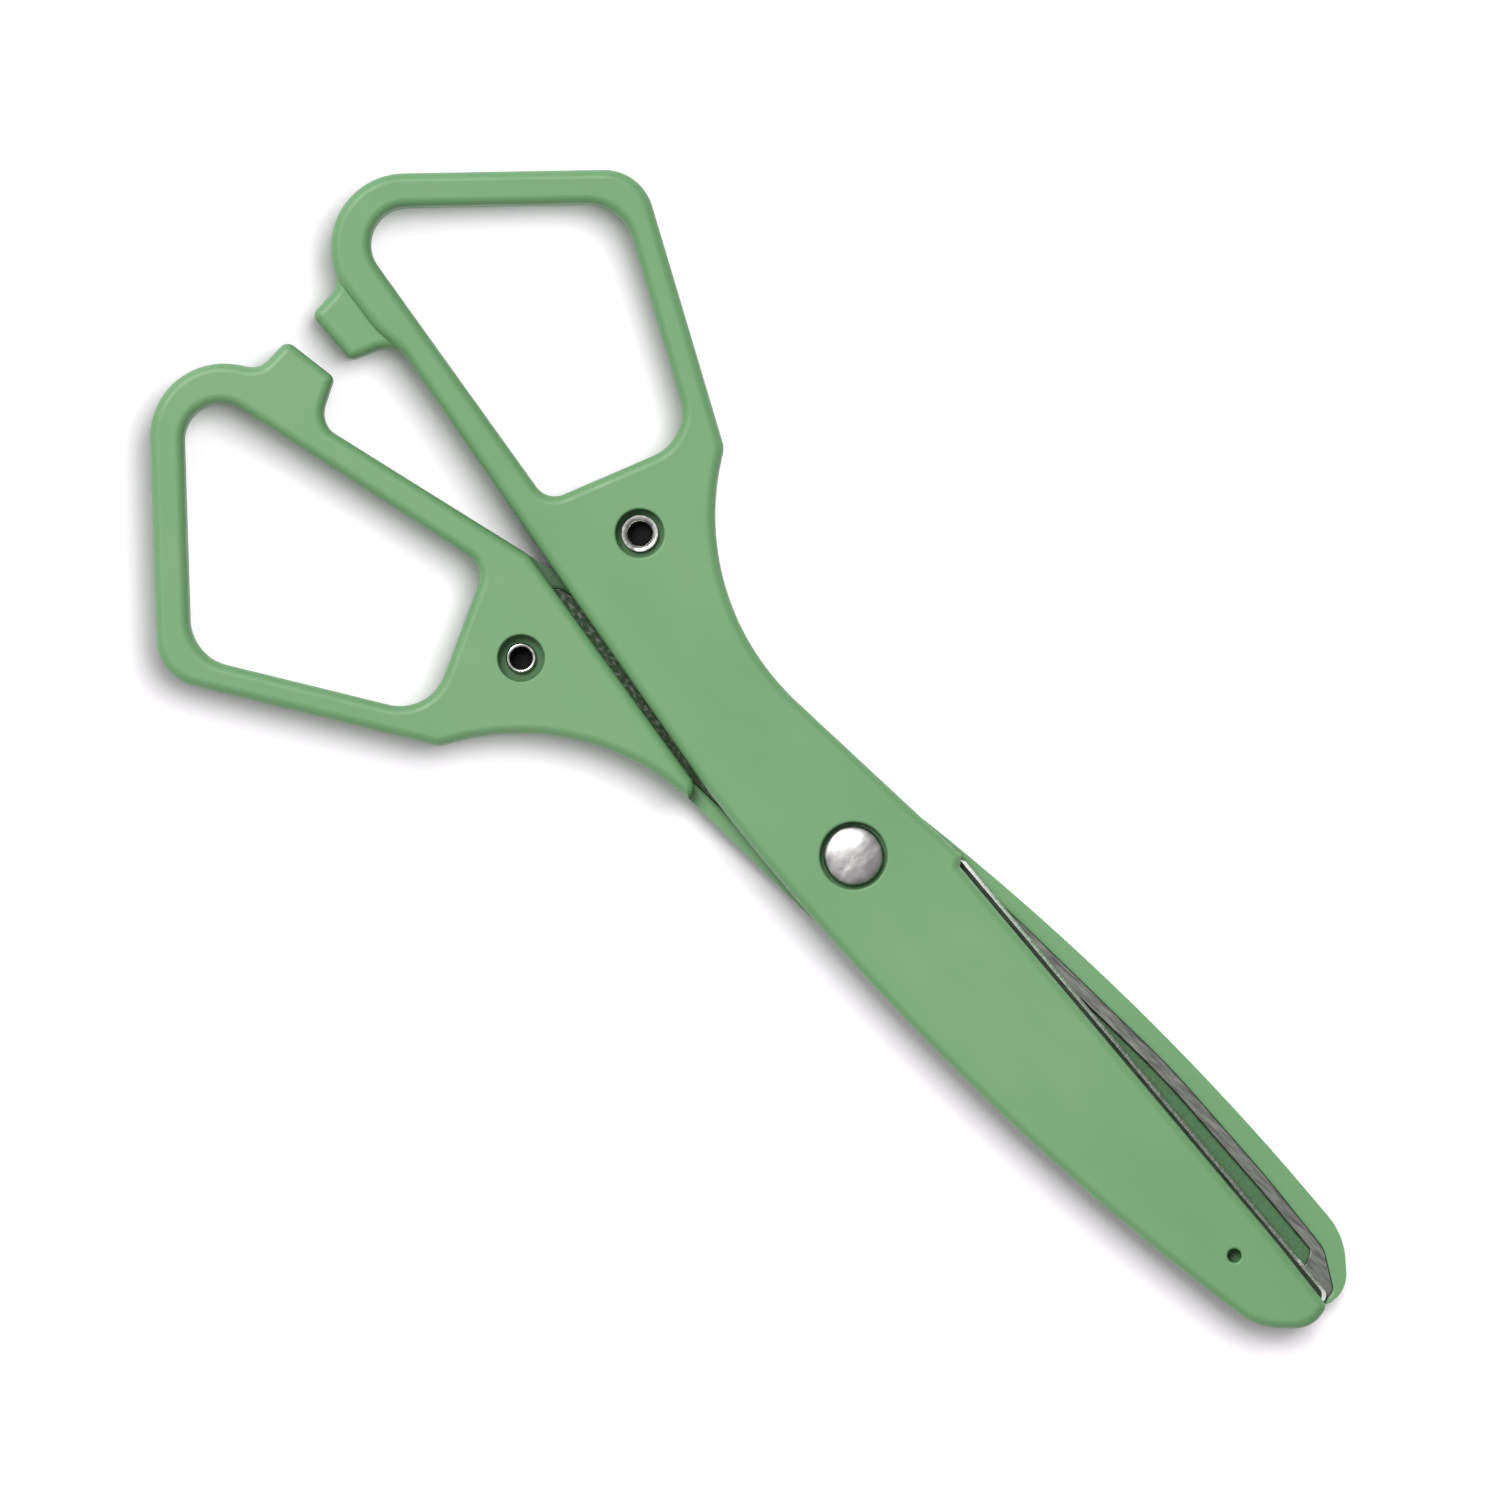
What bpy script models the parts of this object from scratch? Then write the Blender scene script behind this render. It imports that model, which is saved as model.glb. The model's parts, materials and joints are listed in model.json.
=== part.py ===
"""Small straight-edge safety scissors, modelled as separate pieces that fit together.

Two identical green mouldings carry a steel blade each. Every blade is clamped in its moulding
by a hollow eyelet near the finger loop, and a two-piece rivet joins the halves at the pivot.
The rear half is the front half turned over about the long axis.

All sizes below are in millimetres. Plan coordinates are measured from the pivot: +y runs to the
tips and +x to the right, seen from the front face. Heights of one half are measured from the
plane where the blades meet, positive towards its own outer face. A half lies in the slightly
open pose in which the scissors rest.
"""

import math

import bmesh
import bpy

MM = 0.001

# Heights.
THICKNESS = 6.2
TOUCH_GAP = 0.3
HALF_THICKNESS = THICKNESS / 2
BLADE_FACE = TOUCH_GAP / 2
STEEL_THICKNESS = 0.7
TAB_DROP = 0.8

# Quarter-round edges of the mouldings.
EDGE_RADIUS = 0.9
EDGE_STEPS = 3

# Round stretches keep to their true arc within this distance.
ARC_TOLERANCE = 0.03
SMALLEST_RADIUS = 0.05

# Moulding seen from its outer face, clockwise: (x, y, corner radius).
MOULDING_OUTLINE = (
    (-6.20, 8.0, 0.25),
    (-1.10, 54.5, 60.0),
    (-0.05, 61.9, 0.8),
    (2.50, 62.3, 3.0),
    (6.05, 58.5, 7.0),
    (10.20, 19.7, 260.0),
    (5.00, -14.6, 30.0),
    (-5.30, -64.9, 2.5),
    (-1.15, -66.85, 0.7),
    (-1.70, -72.5, 0.8),
    (-5.29, -72.5, 2.0),
    (-11.50, -81.4, 7.0),
    (-33.20, -59.4, 4.7),
    (-19.53, -35.53, 2.2),
    (-6.70, -28.15, 24.0),
    (-7.10, 7.4, 0.3),
)
LOOP_HOLE = (
    (-18.04, -38.27, 4.5),
    (-4.24, -44.15, 2.2),
    (-10.62, -77.76, 3.5),
    (-29.63, -58.49, 4.6),
)

# The other half sweeps through this region, so the moulding is only half as thick there.
SWEPT_REGION = (
    (-0.23, -44.0, 0.1),
    (-5.52, -15.1, 1.3),
    (-10.0, -15.1, 0.1),
    (-10.0, 66.0, 0.1),
    (12.0, 66.0, 0.1),
    (12.0, -44.0, 0.1),
)

# The tab that meets its twin is lower than the loop on its outer side.
TAB_STEP = ((-4.6, -62.0, 0.1), (0.5, -62.0, 0.1), (0.5, -76.0, 0.1), (-5.5, -76.0, 0.1))

# Blade, with its tang running past the pivot to the eyelet.
STEEL_OUTLINE = (
    (-6.95, 8.05, 0.4),
    (-0.95, 61.4, 0.9),
    (1.50, 61.45, 1.0),
    (3.75, 58.0, 3.0),
    (4.90, 49.5, 60.0),
    (6.15, 36.0, 80.0),
    (6.35, 15.0, 60.0),
    (5.50, 1.0, 60.0),
    (3.70, -14.6, 30.0),
    (-0.95, -38.2, 1.5),
    (-12.20, -39.2, 3.3),
    (-5.40, -18.5, 20.0),
    (-5.50, 5.0, 3.0),
)
CUTTING_EDGE_CORNERS = (0, 1)
GROUND_WIDTH = 0.38
RELIEF_WINDOW = (
    (-3.20, 17.0, 1.2),
    (1.00, 58.0, 0.5),
    (2.75, 57.3, 0.5),
    (3.65, 49.5, 60.0),
    (4.90, 36.0, 80.0),
    (5.05, 17.0, 1.2),
)
RIB_RECESS = 0.3

# Blind gate mark near the tip.
GATE_PLACE = (2.55, 52.2)
GATE_RADIUS = 0.65
GATE_DEPTH = 1.6

# Pivot rivet: a solid stem pressed into a hollow barrel, with a domed head on each.
RIVET_SIDES = 48
PIVOT_HOLE_RADIUS = 2.3
BARREL_RADIUS = 2.2
BARREL_BORE_RADIUS = 1.7
STEM_RADIUS = 1.4
HEAD_RADIUS = 2.85
HEAD_RIM = 0.25
HEAD_DOME = 0.5
HEAD_SEAT_RADIUS = 3.2
HEAD_SEAT_DEPTH = 1.15
DOME_STEPS = 6
STEM_END_CLEARANCE = 0.8
STEM_CHAMFER = 0.2

# Hollow eyelet through the web of each half.
EYELET_SIDES = 32
EYELET_PLACE = (-8.15, -35.7)
EYELET_HOLE_RADIUS = 1.3
EYELET_BARREL_RADIUS = 1.2
EYELET_BORE_RADIUS = 1.0
EYELET_WEB = 0.5
EYELET_FLANGE_RADIUS = 1.7
EYELET_ROLL_RADIUS = 1.42
EYELET_FLANGE_THICKNESS = 0.25
EYELET_FLANGE_ROUNDING = 0.1
EYELET_MOUTH_FLARE = 0.25
EYELET_ROLL_ROUNDING = 0.08
OUTER_SEAT_RADIUS = 2.3
OUTER_SEAT_DEPTH = 1.75
INNER_SEAT_RADIUS = 2.15
INNER_SEAT_DEPTH = 1.5

SHARP_ANGLE = math.radians(32)


# ---------------------------------------------------------------- plan outlines

def unit(start, end):
    """Unit vector from start to end in plan."""
    length = math.hypot(end[0] - start[0], end[1] - start[1])
    return (end[0] - start[0]) / length, (end[1] - start[1]) / length


def offset_corner(before, corner, after, inset):
    """A clockwise outline's corner after both its edges move inwards by inset."""
    dir_in = unit(before, corner)
    dir_out = unit(corner, after)
    cosine = dir_in[0] * dir_out[0] + dir_in[1] * dir_out[1]
    reach = inset / (1 + cosine)
    normal_x = dir_in[1] + dir_out[1]
    normal_y = -dir_in[0] - dir_out[0]
    return corner[0] + reach * normal_x, corner[1] + reach * normal_y


def arc_steps(radius, turn):
    """Number of straight steps that follow an arc within the tolerance."""
    ratio = min(ARC_TOLERANCE / radius, 0.5)
    step = 2 * math.acos(1 - ratio)
    return max(1, math.ceil(abs(turn) / step))


def rounded_loop(corners, inset=0.0):
    """Points of a clockwise outline with rounded corners, moved inwards by inset.

    The number of points doesn't depend on the inset, so two loops can be bridged point by point.
    """
    count = len(corners)
    points = []
    for index in range(count):
        before = corners[index - 1]
        corner = corners[index]
        after = corners[(index + 1) % count]
        dir_in = unit(before, corner)
        dir_out = unit(corner, after)
        cross = dir_in[0] * dir_out[1] - dir_in[1] * dir_out[0]
        turn = math.atan2(cross, dir_in[0] * dir_out[0] + dir_in[1] * dir_out[1])
        steps = arc_steps(corner[2], turn)
        side = 1 if turn > 0 else -1
        radius = max(corner[2] + side * inset, SMALLEST_RADIUS)
        place = offset_corner(before, corner, after, inset)
        back = radius * math.tan(abs(turn) / 2)
        first = (place[0] - back * dir_in[0], place[1] - back * dir_in[1])
        centre = (first[0] - side * radius * dir_in[1], first[1] + side * radius * dir_in[0])
        start = math.atan2(first[1] - centre[1], first[0] - centre[0])
        for step in range(steps + 1):
            angle = start + turn * step / steps
            x = centre[0] + radius * math.cos(angle)
            y = centre[1] + radius * math.sin(angle)
            points.append((x, y))
    return points


def circle(radius, sides, centre=(0.0, 0.0)):
    """Points of a clockwise circle."""
    points = []
    for index in range(sides):
        angle = -2 * math.pi * index / sides
        points.append((centre[0] + radius * math.cos(angle), centre[1] + radius * math.sin(angle)))
    return points


# ---------------------------------------------------------------- solids

def new_object(name, bm):
    """Working solid from bm, whose coordinates are in millimetres."""
    bmesh.ops.scale(bm, vec=(MM, MM, MM), verts=bm.verts)
    bmesh.ops.recalc_face_normals(bm, faces=bm.faces)
    mesh = bpy.data.meshes.new(name)
    bm.to_mesh(mesh)
    bm.free()
    obj = bpy.data.objects.new(name, mesh)
    bpy.context.scene.collection.objects.link(obj)
    return obj


def loft(name, rings):
    """Closed solid through rings, each a (points, height) pair with equal point counts."""
    bm = bmesh.new()
    levels = []
    for points, height in rings:
        levels.append([bm.verts.new((x, y, height)) for x, y in points])
    bm.faces.new(levels[0])
    bm.faces.new(levels[-1])
    for lower, upper in zip(levels, levels[1:]):
        for index in range(len(lower)):
            following = (index + 1) % len(lower)
            bm.faces.new((lower[index], lower[following], upper[following], upper[index]))
    return new_object(name, bm)


def prism(name, points, bottom, top):
    """Straight solid of one outline between two heights."""
    return loft(name, ((points, bottom), (points, top)))


def turned(name, profile, sides, centre=(0.0, 0.0)):
    """Solid turned about a vertical axis from a closed (radius, height) profile."""
    bm = bmesh.new()
    rings = []
    for radius, height in profile:
        if radius == 0:
            rings.append([bm.verts.new((*centre, height))] * sides)
        else:
            points = circle(radius, sides, centre)
            rings.append([bm.verts.new((x, y, height)) for x, y in points])
    for index, ring in enumerate(rings):
        below = rings[index - 1]
        for side in range(sides):
            following = (side + 1) % sides
            corners = (below[side], below[following], ring[following], ring[side])
            distinct = list(dict.fromkeys(corners))
            if len(distinct) > 2:
                bm.faces.new(distinct)
    return new_object(name, bm)


def combine(body, tools):
    """Apply (operation, solid) pairs to body in order, remove the solids, return the mesh."""
    for operation, tool in tools:
        modifier = body.modifiers.new(tool.name, "BOOLEAN")
        modifier.operation = operation
        modifier.solver = "EXACT"
        modifier.object = tool
    graph = bpy.context.evaluated_depsgraph_get()
    mesh = bpy.data.meshes.new_from_object(body.evaluated_get(graph))
    for _, tool in tools:
        bpy.data.objects.remove(tool)
    bpy.data.objects.remove(body)
    return mesh


# ---------------------------------------------------------------- pieces of one half

def edge_rings(corners, into_material):
    """Rings from inner to outer face that round both edges of a moulded wall.

    into_material is 1 where the moulding lies inside the outline and -1 where it lies outside.
    """
    rounded = []
    for step in range(EDGE_STEPS + 1):
        angle = math.pi / 2 * step / EDGE_STEPS
        inset = EDGE_RADIUS * (1 - math.sin(angle))
        height = HALF_THICKNESS - EDGE_RADIUS * (1 - math.cos(angle))
        rounded.append((rounded_loop(corners, into_material * inset), height))
    rings = [(points, -height) for points, height in rounded]
    rings += reversed(rounded)
    return rings


def loop_hole():
    """Cutter of the finger hole, flared at both faces so that its rims are rounded."""
    rings = edge_rings(LOOP_HOLE, -1)
    rings.insert(0, (rings[0][0], -HALF_THICKNESS - 1))
    rings.append((rings[-1][0], HALF_THICKNESS + 1))
    return loft("loop_hole", rings)


def moulding_mesh():
    """Handle loop, web and blade back of one half."""
    clear = HALF_THICKNESS + 1
    steel_top = BLADE_FACE + STEEL_THICKNESS
    slot = rounded_loop(STEEL_OUTLINE, -TOUCH_GAP)
    rib = rounded_loop(RELIEF_WINDOW, TOUCH_GAP)
    pivot = circle(PIVOT_HOLE_RADIUS, RIVET_SIDES)
    head_seat = circle(HEAD_SEAT_RADIUS, RIVET_SIDES)
    eyelet = circle(EYELET_HOLE_RADIUS, EYELET_SIDES, EYELET_PLACE)
    outer_seat = circle(OUTER_SEAT_RADIUS, EYELET_SIDES, EYELET_PLACE)
    inner_seat = circle(INNER_SEAT_RADIUS, EYELET_SIDES, EYELET_PLACE)
    gate = circle(GATE_RADIUS, EYELET_SIDES, GATE_PLACE)
    step = rounded_loop(TAB_STEP)
    swept = rounded_loop(SWEPT_REGION)
    outer = HALF_THICKNESS
    body = loft("moulding", edge_rings(MOULDING_OUTLINE, 1))
    return combine(body, (
        ("DIFFERENCE", prism("swept_region", swept, -clear, BLADE_FACE)),
        ("DIFFERENCE", loop_hole()),
        ("DIFFERENCE", prism("tab_step", step, outer - TAB_DROP, clear)),
        ("DIFFERENCE", prism("tang_slot", slot, -BLADE_FACE, steel_top + TOUCH_GAP)),
        ("UNION", prism("window_rib", rib, BLADE_FACE + RIB_RECESS, steel_top + 2 * TOUCH_GAP)),
        ("DIFFERENCE", prism("pivot_hole", pivot, -clear, clear)),
        ("DIFFERENCE", prism("head_seat", head_seat, outer - HEAD_SEAT_DEPTH, clear)),
        ("DIFFERENCE", prism("eyelet_hole", eyelet, -clear, clear)),
        ("DIFFERENCE", prism("outer_seat", outer_seat, outer - OUTER_SEAT_DEPTH, clear)),
        ("DIFFERENCE", prism("inner_seat", inner_seat, -clear, INNER_SEAT_DEPTH - outer)),
        ("DIFFERENCE", prism("gate_mark", gate, outer - GATE_DEPTH, clear)),
    ))


def ground_outline():
    """Blade outline on the side that is ground away along the cutting edge."""
    corners = list(STEEL_OUTLINE)
    edge = [STEEL_OUTLINE[index] for index in CUTTING_EDGE_CORNERS]
    along = unit(edge[0], edge[1])
    for index, (x, y, radius) in zip(CUTTING_EDGE_CORNERS, edge):
        corners[index] = (x + GROUND_WIDTH * along[1], y - GROUND_WIDTH * along[0], radius)
    return corners


def blade_mesh():
    """Stamped steel blade with relief window, pivot hole and eyelet hole."""
    top = BLADE_FACE + STEEL_THICKNESS
    body = loft("blade", (
        (rounded_loop(STEEL_OUTLINE), BLADE_FACE),
        (rounded_loop(ground_outline()), top),
    ))
    pivot = circle(PIVOT_HOLE_RADIUS, RIVET_SIDES)
    eyelet = circle(EYELET_HOLE_RADIUS, EYELET_SIDES, EYELET_PLACE)
    return combine(body, (
        ("DIFFERENCE", prism("relief_window", rounded_loop(RELIEF_WINDOW), 0, top + 1)),
        ("DIFFERENCE", prism("pivot_hole", pivot, 0, top + 1)),
        ("DIFFERENCE", prism("eyelet_hole", eyelet, 0, top + 1)),
    ))


def eyelet_mesh():
    """Eyelet hollow from both ends, flanged at the outer face, rolled over at the inner one."""
    flange_seat = HALF_THICKNESS - OUTER_SEAT_DEPTH + TOUCH_GAP
    flange_top = flange_seat + EYELET_FLANGE_THICKNESS
    roll_seat = INNER_SEAT_DEPTH - HALF_THICKNESS - TOUCH_GAP
    roll_end = roll_seat - EYELET_FLANGE_THICKNESS
    mid_roll = (roll_seat + roll_end) / 2
    mouth_depth = 2 * EYELET_FLANGE_THICKNESS
    profile = (
        (EYELET_BARREL_RADIUS, roll_seat),
        (EYELET_BARREL_RADIUS, flange_seat),
        (EYELET_FLANGE_RADIUS, flange_seat),
        (EYELET_FLANGE_RADIUS, flange_top - EYELET_FLANGE_ROUNDING),
        (EYELET_FLANGE_RADIUS - EYELET_FLANGE_ROUNDING, flange_top),
        (EYELET_BORE_RADIUS + EYELET_MOUTH_FLARE, flange_top - EYELET_FLANGE_ROUNDING),
        (EYELET_BORE_RADIUS, flange_top - mouth_depth),
        (EYELET_BORE_RADIUS, EYELET_WEB / 2),
        (0, EYELET_WEB / 2),
        (0, -EYELET_WEB / 2),
        (EYELET_BORE_RADIUS, -EYELET_WEB / 2),
        (EYELET_BORE_RADIUS, roll_end + mouth_depth),
        (EYELET_BORE_RADIUS + EYELET_ROLL_ROUNDING, roll_end),
        (EYELET_ROLL_RADIUS - EYELET_ROLL_ROUNDING, roll_end),
        (EYELET_ROLL_RADIUS, mid_roll),
        (EYELET_ROLL_RADIUS - EYELET_ROLL_ROUNDING, roll_seat),
    )
    return turned("eyelet", profile, EYELET_SIDES, EYELET_PLACE).data


# ---------------------------------------------------------------- pivot rivet

def head_profile(seat, first_radius):
    """Profile of a domed head from its seat at first_radius to the top of its dome."""
    profile = [(first_radius, seat), (HEAD_RADIUS, seat), (HEAD_RADIUS, seat + HEAD_RIM)]
    for step in range(1, DOME_STEPS + 1):
        angle = math.pi / 2 * step / DOME_STEPS
        radius = HEAD_RADIUS * math.cos(angle) if step < DOME_STEPS else 0
        profile.append((radius, seat + HEAD_RIM + HEAD_DOME * math.sin(angle)))
    return profile


def rivet_mesh():
    """Stem with the domed head that shows on the front face."""
    seat = HALF_THICKNESS - HEAD_SEAT_DEPTH + TOUCH_GAP
    stem_end = -seat + STEM_END_CLEARANCE
    profile = [(0, stem_end), (STEM_RADIUS - STEM_CHAMFER, stem_end)]
    profile += [(STEM_RADIUS, stem_end + STEM_CHAMFER)]
    profile += head_profile(seat, STEM_RADIUS)
    return turned("rivet", profile, RIVET_SIDES).data


def rivet_cap_mesh():
    """Hollow barrel with a domed head, drawn upside down like the front one."""
    seat = HALF_THICKNESS - HEAD_SEAT_DEPTH + TOUCH_GAP
    mouth = -seat + TOUCH_GAP
    bore_end = seat - TOUCH_GAP / 2
    profile = [(0, bore_end), (BARREL_BORE_RADIUS, bore_end), (BARREL_BORE_RADIUS, mouth)]
    profile += [(BARREL_RADIUS, mouth)]
    profile += head_profile(seat, BARREL_RADIUS)
    return turned("rivet_cap", profile, RIVET_SIDES).data


# ---------------------------------------------------------------- materials

def material(name, colour, roughness, metallic):
    """Principled material with one colour."""
    result = bpy.data.materials.new(name)
    result.use_nodes = True
    shader = result.node_tree.nodes["Principled BSDF"]
    shader.inputs["Base Color"].default_value = (*colour, 1)
    shader.inputs["Roughness"].default_value = roughness
    shader.inputs["Metallic"].default_value = metallic
    result.diffuse_color = (*colour, 1)
    return result


# ---------------------------------------------------------------- assembly

def pivot_y():
    """Distance of the pivot from the middle of the object's length."""
    ends = [y for _, y in rounded_loop(MOULDING_OUTLINE)]
    return -(min(ends) + max(ends)) / 2


def place(name, mesh, finish, turned_over):
    """Piece with its origin on the pivot axis, at half the object's height."""
    obj = bpy.data.objects.new(name, mesh.copy())
    obj.data.name = name
    obj.data.materials.clear()
    obj.data.materials.append(finish)
    obj.data.shade_smooth()
    obj.data.set_sharp_from_angle(angle=SHARP_ANGLE)
    obj.location = (0, pivot_y() * MM, HALF_THICKNESS * MM)
    obj.rotation_euler = (0, math.pi if turned_over else 0, 0)
    bpy.context.scene.collection.objects.link(obj)
    return obj


def main():
    for obj in list(bpy.data.objects):
        bpy.data.objects.remove(obj)
    green = material("green_plastic", (0.19, 0.40, 0.19), 0.45, 0.0)
    steel = material("blade_steel", (0.50, 0.49, 0.49), 0.32, 1.0)
    bright = material("polished_steel", (0.72, 0.71, 0.70), 0.14, 1.0)
    nickel = material("eyelet_nickel", (0.60, 0.60, 0.60), 0.22, 1.0)
    moulding = moulding_mesh()
    blade = blade_mesh()
    eyelet = eyelet_mesh()
    rivet = rivet_mesh()
    rivet_cap = rivet_cap_mesh()
    for solid in list(bpy.data.objects):
        bpy.data.objects.remove(solid)
    for side, turned_over in (("front", False), ("rear", True)):
        place(side + "_half", moulding, green, turned_over)
        place(side + "_blade", blade, steel, turned_over)
        place(side + "_eyelet", eyelet, nickel, turned_over)
    place("pivot_rivet", rivet, bright, False)
    place("pivot_rivet_cap", rivet_cap, bright, True)


main()
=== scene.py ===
"""Looks of the small safety scissors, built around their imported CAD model.

Every CAD node is replaced by a finer piece of the same size in the same place: mouldings with
smooth quarter-round edges, ground and punched steel blades, rolled eyelets and domed rivet heads.

Lengths are in millimetres until a mesh is placed. As in the CAD, plan coordinates are measured
from the pivot, +y to the tips and +x to the right, and heights of one half from the plane where
the blades meet, positive towards its own outer face. The rear half is the front one turned over.
"""

import json
import math

import bmesh
import bpy
from mathutils import Matrix, Vector


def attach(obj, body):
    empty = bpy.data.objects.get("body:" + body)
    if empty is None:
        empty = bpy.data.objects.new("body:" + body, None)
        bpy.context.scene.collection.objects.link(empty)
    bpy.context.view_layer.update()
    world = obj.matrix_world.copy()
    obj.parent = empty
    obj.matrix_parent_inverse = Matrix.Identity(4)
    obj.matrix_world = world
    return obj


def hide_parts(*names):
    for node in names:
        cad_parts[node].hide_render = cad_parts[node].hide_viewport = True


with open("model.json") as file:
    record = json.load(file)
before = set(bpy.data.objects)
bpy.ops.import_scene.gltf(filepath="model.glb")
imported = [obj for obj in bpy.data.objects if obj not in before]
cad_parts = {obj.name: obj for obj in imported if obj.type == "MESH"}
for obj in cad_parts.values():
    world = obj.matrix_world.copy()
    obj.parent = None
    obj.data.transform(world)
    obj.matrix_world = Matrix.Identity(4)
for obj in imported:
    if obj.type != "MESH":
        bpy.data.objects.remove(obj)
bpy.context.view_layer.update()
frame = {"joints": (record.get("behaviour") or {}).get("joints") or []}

MM = 0.001
PIVOT = Vector(frame["joints"][0]["pos_m"])
HALF_THICKNESS = PIVOT.z / MM

# ---------------------------------------------------------------- sizes

# Gap from the plane where the blades meet to the steel's cutting face, and the sheet thickness.
BLADE_FACE = 0.15
STEEL_THICKNESS = 0.7
STEEL_TOP = BLADE_FACE + STEEL_THICKNESS

# Rounded edges of the mouldings, and the fine ridge where the two mould halves met.
EDGE_RADIUS = 0.9
EDGE_STEPS = 9
RIDGE_HEIGHT = 0.03
RIDGE_WIDTH = 0.12
SEAT_EDGE = 0.22
SEAT_EDGE_STEPS = 4

# How fine the arcs are, how near two points are when they are merged, and how far a cutter
# reaches past what it cuts.
ARC_TOLERANCE = 0.004
FEWEST_ARC_STEPS = 2
SMALLEST_RADIUS = 0.03
MERGE_DISTANCE = 0.002
CUTTER_REACH = 1.0

# Outlines seen from the outer face, clockwise: (x, y, corner radius). The moulding, its stop tab
# with the drop of the tab's top, the finger hole, and the region kept free for the other half.
MOULDING_OUTLINE = (
    (-6.20, 8.0, 0.25),
    (-1.10, 54.5, 60.0),
    (-0.05, 61.9, 0.8),
    (2.50, 62.3, 3.0),
    (6.05, 58.5, 7.0),
    (10.20, 19.7, 260.0),
    (5.00, -14.6, 30.0),
    (-5.10, -63.9, 5.0),
    (-4.80, -67.0, 8.0),
    (-5.86, -73.32, 5.0),
    (-11.50, -81.4, 7.0),
    (-33.20, -59.4, 4.7),
    (-19.53, -35.53, 2.2),
    (-6.70, -28.15, 24.0),
    (-7.10, 7.4, 0.3),
)
TAB_OUTLINE = (
    (-4.80, -62.0, 0.1),
    (-5.30, -64.9, 2.5),
    (-1.15, -66.85, 0.7),
    (-1.70, -72.5, 0.8),
    (-5.29, -72.5, 2.0),
    (-7.15, -74.95, 0.1),
    (-8.70, -74.4, 0.1),
    (-6.95, -62.0, 0.1),
)
TAB_DROP = 0.8
LOOP_HOLE = (
    (-18.04, -38.27, 4.5),
    (-4.24, -44.15, 2.2),
    (-10.62, -77.76, 3.5),
    (-29.63, -58.49, 4.6),
)
SWEPT_REGION = (
    (-0.23, -44.0, 0.1),
    (-5.52, -15.1, 1.3),
    (-10.0, -15.1, 0.1),
    (-10.0, 66.0, 0.1),
    (12.0, 66.0, 0.1),
    (12.0, -44.0, 0.1),
)

# Steel blade, with its ground edges by their first corner, and its relief window. The pocket in
# the moulding has a sloping lip, and a rib of the moulding stands in the window.
STEEL_OUTLINE = (
    (-6.95, 8.05, 0.4),
    (-0.95, 61.4, 0.9),
    (1.50, 61.45, 1.0),
    (3.75, 58.0, 3.0),
    (4.90, 49.5, 60.0),
    (6.15, 36.0, 80.0),
    (6.35, 15.0, 60.0),
    (5.50, 1.0, 60.0),
    (3.70, -14.6, 30.0),
    (-0.95, -38.2, 1.5),
    (-12.20, -39.2, 3.3),
    (-5.40, -18.5, 20.0),
    (-5.50, 5.0, 3.0),
)
GROUND_EDGES = (0, 1)
GROUND_WIDTH = 0.32
GROUND_DEPTH = 0.5
RELIEF_WINDOW = (
    (-3.20, 17.0, 1.2),
    (1.00, 58.0, 0.5),
    (2.75, 57.3, 0.5),
    (3.65, 49.5, 60.0),
    (4.90, 36.0, 80.0),
    (5.05, 17.0, 1.2),
)
STEEL_GAP = 0.06
STEEL_EDGE_BREAK = 0.05
WINDOW_EDGE_BREAK = 0.14
POCKET_LIP_WIDTH = 0.35
POCKET_LIP_DEPTH = 0.14
RIB_RECESS = 0.55

# Round mark that the mould's gate leaves near the tip.
GATE_PLACE = (2.55, 52.2)
GATE_RADIUS = 0.65
GATE_DEPTH = 1.6

TURNED_SIDES = 96

# Pivot: hole, shanks, and the domed head that both rivet parts have, in its seat.
PIVOT_HOLE_RADIUS = 2.3
BARREL_RADIUS = 2.2
STEM_RADIUS = 1.4
HEAD_RADIUS = 2.85
HEAD_RIM = 0.1
HEAD_DOME = 0.65
DOME_POWER = 2.3
HEAD_BASE = 2.25
HEAD_EDGE_BREAK = 0.05
HEAD_SEAT_RADIUS = 3.2
HEAD_SEAT_DEPTH = 1.15
DOME_STEPS = 28

# Stem of the front rivet and hollow barrel of its cap, which goes over the stem.
STEM_END = -1.45
STEM_ROUNDING = 0.2
BARREL_BORE_RADIUS = 1.7
BARREL_FLOOR = 2.1
BARREL_MOUTH = -1.95
BARREL_ROUNDING = 0.1

# Small knocks in each rivet head: (x, y, radius, depth).
FRONT_KNOCKS = (
    (0.35, -0.05, 0.75, 0.06),
    (1.15, 0.05, 0.50, 0.05),
    (1.85, 0.12, 0.25, 0.03),
)
REAR_KNOCKS = (
    (-0.5, 0.3, 0.8, 0.05),
    (0.9, -0.8, 0.5, 0.04),
)

# Eyelet, with the web that closes its bore in the middle, and the seats for its two ends.
EYELET_PLACE = (-8.15, -35.7)
EYELET_HOLE_RADIUS = 1.3
EYELET_BORE_RADIUS = 1.05
EYELET_WEB = 0.5
OUTER_SEAT_RADIUS = 2.3
OUTER_SEAT_DEPTH = 1.75
INNER_SEAT_RADIUS = 2.15
INNER_SEAT_DEPTH = 1.5

# Eyelet pressed from sheet: the flared flange, its rounded lip and the curled rim. Angles are in
# degrees, from the eyelet's radius outwards.
EYELET_SHEET = 0.15
FLANGE_HEIGHT = 0.55
FLARE_RADIUS = 0.62
FLARE_END = 100
FLARE_STEPS = 14
LIP_RADIUS = 0.09
LIP_END = 60
LIP_STEPS = 6
ROLL_RADIUS = 0.2
ROLL_GAP = 0.12
ROLL_STEPS = 24

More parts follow.
